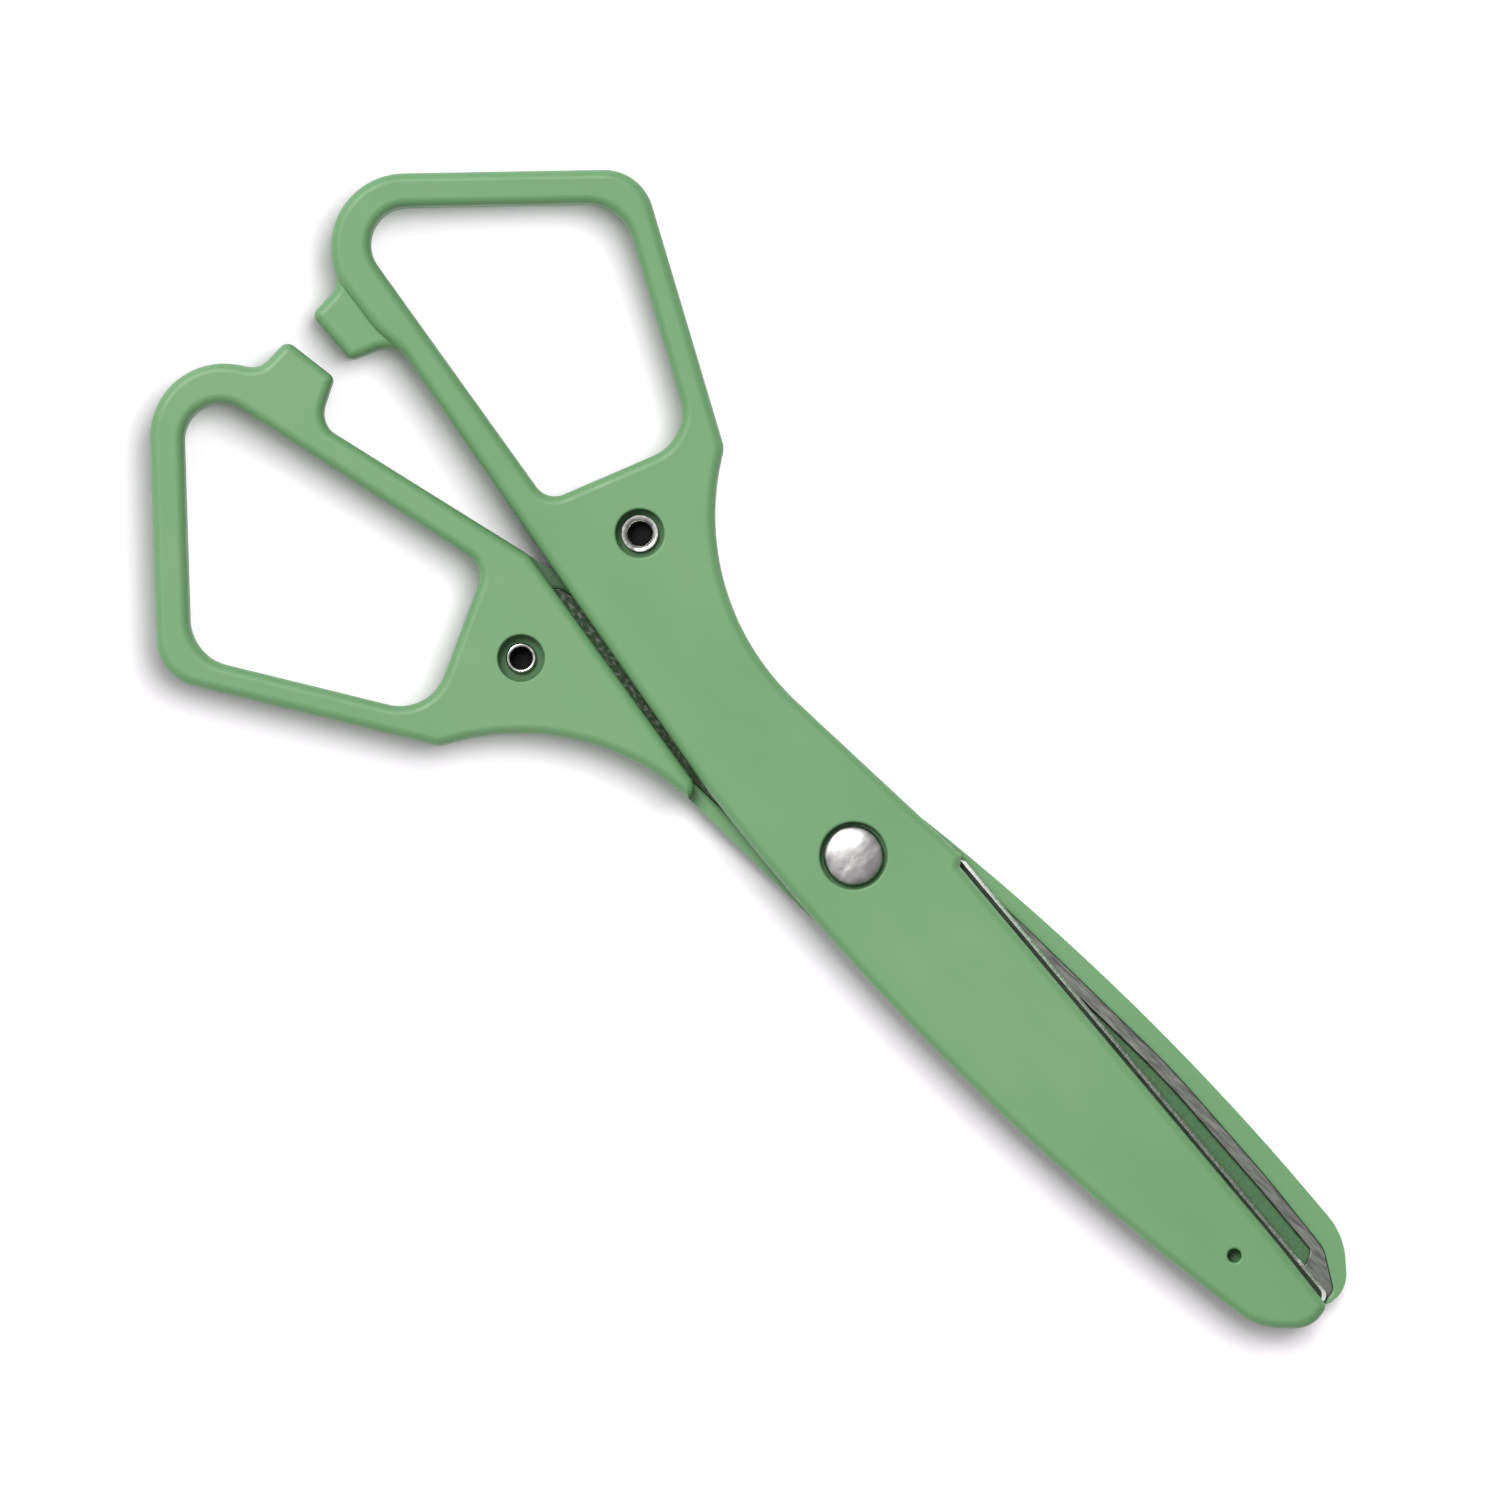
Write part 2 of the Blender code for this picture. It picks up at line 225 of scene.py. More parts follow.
# Tests that tell faces apart: places that count as the same, and the part of a unit normal from
# which a face counts as sloping.
SAME_PLACE = 0.01
SLOPING = 0.3

# Edges between faces that turn by more than this stay sharp.
SHARP_ANGLE = math.radians(30)


# ---------------------------------------------------------------- plan outlines

def unit(start, end):
    """Unit vector from start to end in plan."""
    length = math.hypot(end[0] - start[0], end[1] - start[1])
    return (end[0] - start[0]) / length, (end[1] - start[1]) / length


def offset_corner(before, corner, after, inset_in, inset_out):
    """A clockwise outline's corner after the edges that meet there move inwards.

    The two reaches are how far the corner moves along each edge's normal. Equal insets have their
    own formula, which also holds where the edges are in line.
    """
    dir_in = unit(before, corner)
    dir_out = unit(corner, after)
    cosine = dir_in[0] * dir_out[0] + dir_in[1] * dir_out[1]
    if inset_in == inset_out:
        reach_in = inset_in / (1 + cosine)
        reach_out = reach_in
    else:
        reach_in = (inset_in - inset_out * cosine) / (1 - cosine * cosine)
        reach_out = (inset_out - inset_in * cosine) / (1 - cosine * cosine)
    return (
        corner[0] + reach_in * dir_in[1] + reach_out * dir_out[1],
        corner[1] - reach_in * dir_in[0] - reach_out * dir_out[0],
    )


def arc_steps(radius, turn):
    """Number of straight steps that follow an arc within the tolerance.

    However small the arc, a step turns by at most 120 degrees, which is a ratio of 0.5.
    """
    ratio = min(ARC_TOLERANCE / radius, 0.5)
    step = 2 * math.acos(1 - ratio)
    return max(FEWEST_ARC_STEPS, math.ceil(abs(turn) / step))


def rounded_loop(corners, inset=0.0, ground_edges=(), ground_width=0.0):
    """Points of a clockwise outline with rounded corners, moved inwards by inset.

    The edges that start at the corners in ground_edges move inwards by ground_width more. The
    number of points doesn't depend on the insets, so two loops can be bridged point by point.
    """
    count = len(corners)
    insets = [inset + (ground_width if index in ground_edges else 0) for index in range(count)]
    points = []
    for index in range(count):
        before = corners[index - 1]
        corner = corners[index]
        after = corners[(index + 1) % count]
        dir_in = unit(before, corner)
        dir_out = unit(corner, after)
        cross = dir_in[0] * dir_out[1] - dir_in[1] * dir_out[0]
        turn = math.atan2(cross, dir_in[0] * dir_out[0] + dir_in[1] * dir_out[1])
        steps = arc_steps(corner[2], turn)
        side = 1 if turn > 0 else -1
        radius = max(corner[2] + side * inset, SMALLEST_RADIUS)
        place = offset_corner(before, corner, after, insets[index - 1], insets[index])
        back = radius * math.tan(abs(turn) / 2)
        first = (place[0] - back * dir_in[0], place[1] - back * dir_in[1])
        centre = (first[0] - side * radius * dir_in[1], first[1] + side * radius * dir_in[0])
        start = math.atan2(first[1] - centre[1], first[0] - centre[0])
        for step in range(steps + 1):
            angle = start + turn * step / steps
            x = centre[0] + radius * math.cos(angle)
            y = centre[1] + radius * math.sin(angle)
            points.append((x, y))
    return points


def circle(radius, centre=(0.0, 0.0)):
    """Points of a clockwise circle."""
    points = []
    for index in range(TURNED_SIDES):
        angle = -2 * math.pi * index / TURNED_SIDES
        points.append((centre[0] + radius * math.cos(angle), centre[1] + radius * math.sin(angle)))
    return points


# ---------------------------------------------------------------- solids

def working_object(name, bm):
    """Object from bm, not yet part of the model, with its faces turned outwards."""
    bmesh.ops.recalc_face_normals(bm, faces=bm.faces)
    mesh = bpy.data.meshes.new(name)
    bm.to_mesh(mesh)
    bm.free()
    obj = bpy.data.objects.new(name, mesh)
    bpy.context.scene.collection.objects.link(obj)
    return obj


def loft(name, rings):
    """Closed solid through rings, each a (points, height) pair with equal point counts."""
    bm = bmesh.new()
    levels = []
    for points, height in rings:
        levels.append([bm.verts.new((x, y, height)) for x, y in points])
    bm.faces.new(levels[0])
    bm.faces.new(levels[-1])
    for lower, upper in zip(levels, levels[1:]):
        for index in range(len(lower)):
            following = (index + 1) % len(lower)
            bm.faces.new((lower[index], lower[following], upper[following], upper[index]))
    return working_object(name, bm)


def prism(name, points, bottom, top):
    """Straight solid of one outline between two heights."""
    return loft(name, ((points, bottom), (points, top)))


def turned(name, profile, centre=(0.0, 0.0)):
    """Solid turned about a vertical axis from a closed (radius, height) profile."""
    bm = bmesh.new()
    rings = []
    for radius, height in profile:
        if radius == 0:
            rings.append([bm.verts.new((*centre, height))] * TURNED_SIDES)
        else:
            rings.append([bm.verts.new((x, y, height)) for x, y in circle(radius, centre)])
    for index, ring in enumerate(rings):
        below = rings[index - 1]
        for side in range(TURNED_SIDES):
            following = (side + 1) % TURNED_SIDES
            corners = (below[side], below[following], ring[following], ring[side])
            distinct = list(dict.fromkeys(corners))
            if len(distinct) > 2:
                bm.faces.new(distinct)
    return working_object(name, bm)


def only_mesh(obj):
    """Mesh of a working object, which is removed."""
    mesh = obj.data
    bpy.data.objects.remove(obj)
    return mesh


def arc_profile(centre, radius, start, end, steps):
    """(radius, height) points along an arc of a turned profile, angles in degrees."""
    points = []
    for step in range(steps + 1):
        angle = math.radians(start + (end - start) * step / steps)
        points.append((centre[0] + radius * math.cos(angle), centre[1] + radius * math.sin(angle)))
    return points


def combine(body, tools):
    """Apply (operation, solid) pairs to body in order, remove the solids, return a clean mesh.

    The booleans leave needle faces behind and can leave out a wall face, so points that are
    almost in one place are merged and open edges are closed.
    """
    for operation, tool in tools:
        modifier = body.modifiers.new(tool.name, "BOOLEAN")
        modifier.operation = operation
        modifier.solver = "EXACT"
        modifier.object = tool
    graph = bpy.context.evaluated_depsgraph_get()
    mesh = bpy.data.meshes.new_from_object(body.evaluated_get(graph))
    for _, tool in tools:
        bpy.data.objects.remove(tool)
    bpy.data.objects.remove(body)
    bm = bmesh.new()
    bm.from_mesh(mesh)
    bmesh.ops.remove_doubles(bm, verts=bm.verts, dist=MERGE_DISTANCE)
    bmesh.ops.dissolve_degenerate(bm, edges=bm.edges, dist=MERGE_DISTANCE)
    bmesh.ops.holes_fill(bm, edges=[edge for edge in bm.edges if edge.is_boundary])
    bmesh.ops.recalc_face_normals(bm, faces=bm.faces)
    bm.to_mesh(mesh)
    bm.free()
    return mesh


# ---------------------------------------------------------------- mouldings

def edge_arc(radius, steps):
    """(inset, drop) pairs of a quarter-round edge, from the flat face to the wall."""
    pairs = []
    for step in range(steps + 1):
        angle = math.pi / 2 * step / steps
        pairs.append((radius * (1 - math.sin(angle)), radius * (1 - math.cos(angle))))
    return pairs


def wall_rings(corners, into_material, top):
    """Rings of a moulded wall from the inner to the outer face, both edges rounded.

    into_material is 1 where the moulding lies inside the outline and -1 where it lies outside.
    """
    upper = []
    lower = []
    for inset, drop in edge_arc(EDGE_RADIUS, EDGE_STEPS):
        points = rounded_loop(corners, into_material * inset)
        upper.append((points, top - drop))
        lower.append((points, drop - HALF_THICKNESS))
    plain = rounded_loop(corners)
    ridge = rounded_loop(corners, -into_material * RIDGE_HEIGHT)
    middle = [(plain, -RIDGE_WIDTH / 2), (ridge, 0), (plain, RIDGE_WIDTH / 2)]
    return lower + middle + upper[::-1]


def loop_hole():
    """Cutter of the finger hole."""
    rings = wall_rings(LOOP_HOLE, -1, HALF_THICKNESS)
    rings.insert(0, (rings[0][0], -HALF_THICKNESS - CUTTER_REACH))
    rings.append((rings[-1][0], HALF_THICKNESS + CUTTER_REACH))
    return loft("loop_hole", rings)


def swept_region():
    """Cutter of the space that the other half sweeps through, with a rounded shoulder."""
    rings = [(rounded_loop(SWEPT_REGION, -EDGE_RADIUS), -HALF_THICKNESS - CUTTER_REACH)]
    for inset, drop in edge_arc(EDGE_RADIUS, EDGE_STEPS):
        rings.append((rounded_loop(SWEPT_REGION, -inset), drop - HALF_THICKNESS))
    rings.append((rounded_loop(SWEPT_REGION), BLADE_FACE))
    return loft("swept_region", rings)


def seat(name, radius, depth, centre, side):
    """Cutter of a round seat with a rounded mouth, side 1 in the outer face, -1 in the inner."""
    above = HALF_THICKNESS + CUTTER_REACH
    floor = HALF_THICKNESS - depth
    profile = [(0, above), (radius + SEAT_EDGE, above)]
    for inset, drop in edge_arc(SEAT_EDGE, SEAT_EDGE_STEPS):
        profile.append((radius + inset, HALF_THICKNESS - drop))
    profile += [(radius, floor), (0, floor)]
    return turned(name, [(r, side * height) for r, height in profile], centre)


def pocket():
    """Cutter of the blade's pocket, whose lip slopes down to the steel."""
    lip = rounded_loop(STEEL_OUTLINE, -STEEL_GAP - POCKET_LIP_WIDTH)
    wall = rounded_loop(STEEL_OUTLINE, -STEEL_GAP)
    return loft("pocket", (
        (lip, -BLADE_FACE),
        (lip, BLADE_FACE),
        (wall, BLADE_FACE + POCKET_LIP_DEPTH),
        (wall, STEEL_TOP + STEEL_GAP),
    ))


def inside(mesh, face, centre, radius):
    """Whether a face lies wholly within a radius of a vertical line, as in a round seat."""
    reach = radius + SAME_PLACE
    return all(math.dist(mesh.vertices[index].co[:2], centre) < reach for index in face.vertices)


def window_rib():
    """Rib of the moulding that fills the steel's relief window."""
    outline = rounded_loop(RELIEF_WINDOW, STEEL_GAP)
    return prism("window_rib", outline, BLADE_FACE + RIB_RECESS, STEEL_TOP + 2 * STEEL_GAP)


def moulding_mesh():
    """Handle loop, stop tab, web and blade back of one half.

    Faces in the seats of the outer side and the face of the window rib get the second finish, a
    darker green painted as shade.
    """
    body = loft("moulding", wall_rings(MOULDING_OUTLINE, 1, HALF_THICKNESS))
    tab = loft("stop_tab", wall_rings(TAB_OUTLINE, 1, HALF_THICKNESS - TAB_DROP))
    head_seat = seat("head_seat", HEAD_SEAT_RADIUS, HEAD_SEAT_DEPTH, (0, 0), 1)
    outer_seat = seat("outer_seat", OUTER_SEAT_RADIUS, OUTER_SEAT_DEPTH, EYELET_PLACE, 1)
    inner_seat = seat("inner_seat", INNER_SEAT_RADIUS, INNER_SEAT_DEPTH, EYELET_PLACE, -1)
    gate_mark = seat("gate_mark", GATE_RADIUS, GATE_DEPTH, GATE_PLACE, 1)
    clear = HALF_THICKNESS + CUTTER_REACH
    pivot_hole = prism("pivot_hole", circle(PIVOT_HOLE_RADIUS), -clear, clear)
    eyelet_hole = prism("eyelet_hole", circle(EYELET_HOLE_RADIUS, EYELET_PLACE), -clear, clear)
    mesh = combine(body, (
        ("UNION", tab),
        ("DIFFERENCE", swept_region()),
        ("DIFFERENCE", loop_hole()),
        ("DIFFERENCE", pocket()),
        ("UNION", window_rib()),
        ("DIFFERENCE", pivot_hole),
        ("DIFFERENCE", head_seat),
        ("DIFFERENCE", eyelet_hole),
        ("DIFFERENCE", outer_seat),
        ("DIFFERENCE", inner_seat),
        ("DIFFERENCE", gate_mark),
    ))
    # The deep seats, the gate mark and the window rib are painted darker as shade.
    dark_seats = (
        ((0, 0), HEAD_SEAT_RADIUS),
        (EYELET_PLACE, OUTER_SEAT_RADIUS),
        (GATE_PLACE, GATE_RADIUS),
    )
    for face in mesh.polygons:
        at_rib = abs(face.center.z - BLADE_FACE - RIB_RECESS) < SAME_PLACE
        if at_rib or any(inside(mesh, face, centre, radius) for centre, radius in dark_seats):
            face.material_index = 1
    return mesh


# ---------------------------------------------------------------- steel

def blade_mesh():
    """Stamped steel blade with ground edge, relief window, pivot hole and eyelet hole.

    The ground bevel and the far end of the window get the second finish, bright as painted
    highlight, the back the third, dark as painted shade.
    """
    body = loft("blade", (
        (rounded_loop(STEEL_OUTLINE, STEEL_EDGE_BREAK), BLADE_FACE),
        (rounded_loop(STEEL_OUTLINE), BLADE_FACE + STEEL_EDGE_BREAK),
        (rounded_loop(STEEL_OUTLINE), STEEL_TOP - GROUND_DEPTH),
        (rounded_loop(STEEL_OUTLINE, 0, GROUND_EDGES, GROUND_WIDTH), STEEL_TOP),
    ))
    above = STEEL_TOP + CUTTER_REACH
    window = loft("relief_window", (
        (rounded_loop(RELIEF_WINDOW, -WINDOW_EDGE_BREAK), 0),
        (rounded_loop(RELIEF_WINDOW, -WINDOW_EDGE_BREAK), BLADE_FACE),
        (rounded_loop(RELIEF_WINDOW), BLADE_FACE + WINDOW_EDGE_BREAK),
        (rounded_loop(RELIEF_WINDOW), above),
    ))
    pivot = prism("pivot_hole", circle(PIVOT_HOLE_RADIUS), 0, above)
    eyelet = prism("eyelet_hole", circle(EYELET_HOLE_RADIUS, EYELET_PLACE), 0, above)
    mesh = combine(body, (("DIFFERENCE", window), ("DIFFERENCE", pivot), ("DIFFERENCE", eyelet)))
    for face in mesh.polygons:
        bevel = face.center.z > STEEL_TOP - GROUND_DEPTH and face.normal.z > SLOPING
        # The window's chamfer facing the handles gets the bright finish as a painted highlight.
        lit_window_end = face.normal.z < -SLOPING and face.normal.y < -SLOPING
        # The back, seen only beside the moulding's edge, gets the painted shade finish.
        if face.center.z > STEEL_TOP - SAME_PLACE:
            face.material_index = 2
        elif bevel or lit_window_end:
            face.material_index = 1
    return mesh


def eyelet_mesh():
    """Eyelet hollow from both ends, flared at the outer face and curled over at the inner one.

    The bore and its web get the second finish, painted near black as shade.
    """
    flange_top = HALF_THICKNESS - OUTER_SEAT_DEPTH + FLANGE_HEIGHT
    roll_top = INNER_SEAT_DEPTH - HALF_THICKNESS - ROLL_GAP
    flare_centre = (EYELET_BORE_RADIUS + FLARE_RADIUS, flange_top - FLARE_RADIUS)
    lip_centre = (flare_centre[0], flange_top - LIP_RADIUS)
    roll_centre = (EYELET_BORE_RADIUS + ROLL_RADIUS, roll_top - ROLL_RADIUS)
    profile = arc_profile(flare_centre, FLARE_RADIUS, 180, FLARE_END, FLARE_STEPS)
    profile += arc_profile(lip_centre, LIP_RADIUS, LIP_END, -LIP_END, LIP_STEPS)
    profile += arc_profile(flare_centre, FLARE_RADIUS - EYELET_SHEET, FLARE_END, 180, FLARE_STEPS)
    profile += arc_profile(roll_centre, ROLL_RADIUS, 90, -180, ROLL_STEPS)
    profile += [(EYELET_BORE_RADIUS, -EYELET_WEB / 2), (0, -EYELET_WEB / 2)]
    profile += [(0, EYELET_WEB / 2), (EYELET_BORE_RADIUS, EYELET_WEB / 2)]
    mesh = only_mesh(turned("eyelet", profile, EYELET_PLACE))
    for face in mesh.polygons:
        from_axis = math.dist(face.center[:2], EYELET_PLACE)
        if from_axis < EYELET_BORE_RADIUS + SAME_PLACE:
            face.material_index = 1
    return mesh


def head_profile(first_radius):
    """Profile of a domed head from its underside at first_radius to the top of its dome.

    The dome is a superellipse of DOME_POWER, flatter on top and steeper at the rim than a circle.
    """
    profile = [(first_radius, HEAD_BASE)]
    profile.append((HEAD_RADIUS - HEAD_EDGE_BREAK, HEAD_BASE))
    profile.append((HEAD_RADIUS, HEAD_BASE + HEAD_EDGE_BREAK))
    for step in range(DOME_STEPS + 1):
        angle = math.pi / 2 * step / DOME_STEPS
        across = math.cos(angle) ** (2 / DOME_POWER) if step < DOME_STEPS else 0
        up = math.sin(angle) ** (2 / DOME_POWER)
        profile.append((HEAD_RADIUS * across, HEAD_BASE + HEAD_RIM + HEAD_DOME * up))
    return profile


def stem_profile():
    """Profile of the solid stem, from the axis at its free end to its side."""
    return [
        (0, STEM_END),
        (STEM_RADIUS - STEM_ROUNDING, STEM_END),
        (STEM_RADIUS, STEM_END + STEM_ROUNDING),
    ]


def barrel_profile():
    """Profile of the hollow barrel, from the axis at the floor of its bore to its side."""
    return [
        (0, BARREL_FLOOR),
        (BARREL_BORE_RADIUS, BARREL_FLOOR),
        (BARREL_BORE_RADIUS, BARREL_MOUTH + BARREL_ROUNDING),
        (BARREL_BORE_RADIUS + BARREL_ROUNDING, BARREL_MOUTH),
        (BARREL_RADIUS - BARREL_ROUNDING, BARREL_MOUTH),
        (BARREL_RADIUS, BARREL_MOUTH + BARREL_ROUNDING),
    ]


def rivet_mesh(shank, first_radius, knocks):
    """Domed head on a shank, which meets it at first_radius, with small knocks in the dome."""
    mesh = only_mesh(turned("rivet", shank + head_profile(first_radius)))
    for vertex in mesh.vertices:
        if vertex.co.z < HEAD_BASE + HEAD_RIM:
            continue
        for x, y, radius, depth in knocks:
            distance = math.hypot(vertex.co.x - x, vertex.co.y - y) / radius
            vertex.co.z -= depth * math.exp(-distance * distance)
    return mesh


# ---------------------------------------------------------------- materials

# Turn of the texture that lays streaks along the blade.
LENGTHWISE = math.radians(-5)

# Range in which most values of a noise texture lie.
NOISE_LOW = 0.3
NOISE_HIGH = 0.7

# The steel is painted dark as shade, with a painted green reflection, up to the first distance
# along from the pivot, and keeps its own colour from the second.
TANG_SHADE_END = -12
TANG_SHADE_FADED = -6

# Painted shade deep in the slit between the handles, a darker green on the plastic, from the pivot
# across, along
# and in height: how far it is whole and from where there is none. Along, it is centred on
# SLIT_MIDDLE.
SLIT_MIDDLE = -30
SLIT_ACROSS = (4.0, 5.0)
SLIT_ALONG = (16.0, 18.0)
SLIT_HEIGHT = (0.4, 1.6)


def new_material(name, metallic):
    """New material, its node tree and its Principled shader."""
    result = bpy.data.materials.new(name)
    result.use_nodes = True
    shader = result.node_tree.nodes["Principled BSDF"]
    shader.inputs["Metallic"].default_value = metallic
    return result, result.node_tree, shader


def noise(tree, scale, detail, stretch=(1, 1, 1), turn=0.0):
    """Noise in the piece's own coordinates, in waves a metre: scale times stretch."""
    coords = tree.nodes.new("ShaderNodeTexCoord")
    mapping = tree.nodes.new("ShaderNodeMapping")
    mapping.inputs["Scale"].default_value = stretch
    mapping.inputs["Rotation"].default_value = (0, 0, turn)
    texture = tree.nodes.new("ShaderNodeTexNoise")
    texture.inputs["Scale"].default_value = scale
    texture.inputs["Detail"].default_value = detail
    tree.links.new(coords.outputs["Object"], mapping.inputs["Vector"])
    tree.links.new(mapping.outputs["Vector"], texture.inputs["Vector"])
    return texture.outputs["Fac"]


def colours(tree, source, stops):
    """Colour ramp over source through (position, colour) stops."""
    ramp = tree.nodes.new("ShaderNodeValToRGB")
    elements = ramp.color_ramp.elements
    for element, (position, colour) in zip(elements, (stops[0], stops[-1])):
        element.position = position
        element.color = (*colour, 1)
    for position, colour in stops[1:-1]:
        elements.new(position).color = (*colour, 1)
    tree.links.new(source, ramp.inputs["Fac"])
    return ramp.outputs["Color"]


def blend(tree, factor, first, second):
    """Colour that goes from first to second with the factor."""
    mix = tree.nodes.new("ShaderNodeMix")
    mix.data_type = "RGBA"
    tree.links.new(factor, mix.inputs["Factor"])
    tree.links.new(first, mix.inputs["A"])
    tree.links.new(second, mix.inputs["B"])
    return mix.outputs["Result"]


def between(tree, source, low, high):
    """The usual range of a noise spread from low to high."""
    remap = tree.nodes.new("ShaderNodeMapRange")
    remap.inputs["From Min"].default_value = NOISE_LOW
    remap.inputs["From Max"].default_value = NOISE_HIGH
    remap.inputs["To Min"].default_value = low
    remap.inputs["To Max"].default_value = high
    tree.links.new(source, remap.inputs["Value"])
    return remap.outputs["Result"]


def bumps(tree, shader, layers):
    """Chain of bumps, each a (source, strength, distance in metres)."""
    normal = None
    for source, strength, distance in layers:
        bump = tree.nodes.new("ShaderNodeBump")
        bump.inputs["Strength"].default_value = strength
        bump.inputs["Distance"].default_value = distance
        tree.links.new(source, bump.inputs["Height"])
        if normal:
            tree.links.new(normal, bump.inputs["Normal"])
        normal = bump.outputs["Normal"]
    tree.links.new(normal, shader.inputs["Normal"])


def piece_axes(tree):
    """X, Y and Z in the piece's own coordinates, which are the frame's at rest."""
    coords = tree.nodes.new("ShaderNodeTexCoord")
    axes = tree.nodes.new("ShaderNodeSeparateXYZ")
    tree.links.new(coords.outputs["Object"], axes.inputs["Vector"])
    return axes.outputs


def fade(tree, source, middle, reaches):
    """1 near middle, going down to 0. reaches are how far it is 1 and from where it is 0."""
    offset = tree.nodes.new("ShaderNodeMath")
    offset.operation = "SUBTRACT"
    offset.inputs[1].default_value = middle
    distance = tree.nodes.new("ShaderNodeMath")
    distance.operation = "ABSOLUTE"
    remap = tree.nodes.new("ShaderNodeMapRange")
    remap.inputs["From Min"].default_value = reaches[1] * MM
    remap.inputs["From Max"].default_value = reaches[0] * MM
    tree.links.new(source, offset.inputs[0])
    tree.links.new(offset.outputs["Value"], distance.inputs[0])
    tree.links.new(distance.outputs["Value"], remap.inputs["Value"])
    return remap.outputs["Result"]


def out_of_tang_shade(tree):
    """0 along the tang, where shade is painted, 1 along the blade, with a soft change near the
    pivot.
    """
    along = tree.nodes.new("ShaderNodeMapRange")
    along.inputs["From Min"].default_value = PIVOT.y + TANG_SHADE_END * MM
    along.inputs["From Max"].default_value = PIVOT.y + TANG_SHADE_FADED * MM
    tree.links.new(piece_axes(tree)["Y"], along.inputs["Value"])
    return along.outputs["Result"]


def slit_shade_part(tree):
    """1 deep in the slit between the handles, where shade is painted on the plastic, and 0
    elsewhere.
    """
    axes = piece_axes(tree)
    result = fade(tree, axes["X"], PIVOT.x, SLIT_ACROSS)
    along = fade(tree, axes["Y"], PIVOT.y + SLIT_MIDDLE * MM, SLIT_ALONG)
    height = fade(tree, axes["Z"], PIVOT.z, SLIT_HEIGHT)
    for part in (along, height):
        product = tree.nodes.new("ShaderNodeMath")
        product.operation = "MULTIPLY"
        tree.links.new(result, product.inputs[0])
        tree.links.new(part, product.inputs[1])
        result = product.outputs["Value"]
    return result


def green_plastic():
    """Satin moulded plastic: faint flow mottling, fine grain, uneven gloss and painted shade deep
    in the slit.
    """
    result, tree, shader = new_material("green_plastic", 0.0)
    flow = noise(tree, scale=90, detail=3, stretch=(1, 0.45, 1))
    grain = noise(tree, scale=5200, detail=2)
    wave = noise(tree, scale=420, detail=3)
    tint = colours(tree, flow, (
        (0.30, (0.124, 0.292, 0.122)),
        (0.50, (0.134, 0.308, 0.132)),
        (0.72, (0.149, 0.321, 0.145)),
    ))
    # Darker green painted as shade deep in the slit between the handles.
    slit_shade_tint = colours(tree, wave, ((0.35, (0.030, 0.105, 0.030)), (0.70, (0.060, 0.165, 0.060))))
    tree.links.new(blend(tree, slit_shade_part(tree), tint, slit_shade_tint), shader.inputs["Base Color"])
    tree.links.new(between(tree, wave, 0.40, 0.52), shader.inputs["Roughness"])
    bumps(tree, shader, ((wave, 0.10, 0.00006), (grain, 0.12, 0.00002)))
    return result


def shaded_rough_plastic():
    """The same plastic inside the seats and the window, rough from the mould, its green darkened
    as painted shade.
    """
    result, tree, shader = new_material("shaded_rough_plastic", 0.0)
    grain = noise(tree, scale=2600, detail=4)
    tint = colours(tree, grain, ((0.30, (0.045, 0.130, 0.045)), (0.70, (0.080, 0.190, 0.080))))
    tree.links.new(tint, shader.inputs["Base Color"])
    tree.links.new(between(tree, grain, 0.60, 0.80), shader.inputs["Roughness"])
    bumps(tree, shader, ((grain, 0.4, 0.00005),))
    return result


def blade_steel():
    """Cold-rolled steel with lengthwise streaks and mottling, painted dark at the tang as shade,
    with a green cast painted in as reflection of the moulding.
    """
    result, tree, shader = new_material("blade_steel", 1.0)
    streaks = noise(tree, scale=1, detail=5, stretch=(4200, 500, 4200), turn=LENGTHWISE)
    speckle = noise(tree, scale=3400, detail=3, stretch=(1, 0.5, 1))
    patches = noise(tree, scale=900, detail=4, stretch=(1, 0.5, 1))
    # The faint green cast of these greys is a painted reflection of the green moulding.
    bright = colours(tree, streaks, (
        (0.30, (0.092, 0.085, 0.089)),
        (0.48, (0.142, 0.149, 0.134)),
        (0.70, (0.212, 0.225, 0.198)),
    ))
    # Painted shade at the tang, tinted green as a painted reflection of the moulding.
    dark = colours(tree, speckle, (
        (0.36, (0.030, 0.055, 0.028)),
        (0.52, (0.045, 0.070, 0.040)),
        (0.68, (0.140, 0.148, 0.130)),
    ))
    tree.links.new(blend(tree, out_of_tang_shade(tree), dark, bright), shader.inputs["Base Color"])
    tree.links.new(between(tree, patches, 0.42, 0.58), shader.inputs["Roughness"])
    bumps(tree, shader, ((patches, 0.30, 0.00004), (streaks, 0.35, 0.00002)))
    return result


def ground_highlight_steel():
    """Freshly ground bevel with fine marks across the edge, its real brightness pushed near white
    as a painted highlight.
    """
    result, tree, shader = new_material("ground_highlight_steel", 1.0)
    marks = noise(tree, scale=1, detail=3, stretch=(500, 6000, 2000), turn=LENGTHWISE)
    # Near-white greys: a bright ground finish with a painted highlight on top.
    tint = colours(tree, marks, ((0.3, (0.62, 0.64, 0.60)), (0.7, (0.94, 0.95, 0.92))))
    tree.links.new(tint, shader.inputs["Base Color"])
    tree.links.new(between(tree, marks, 0.34, 0.48), shader.inputs["Roughness"])
    bumps(tree, shader, ((marks, 0.3, 0.00002),))
    return result


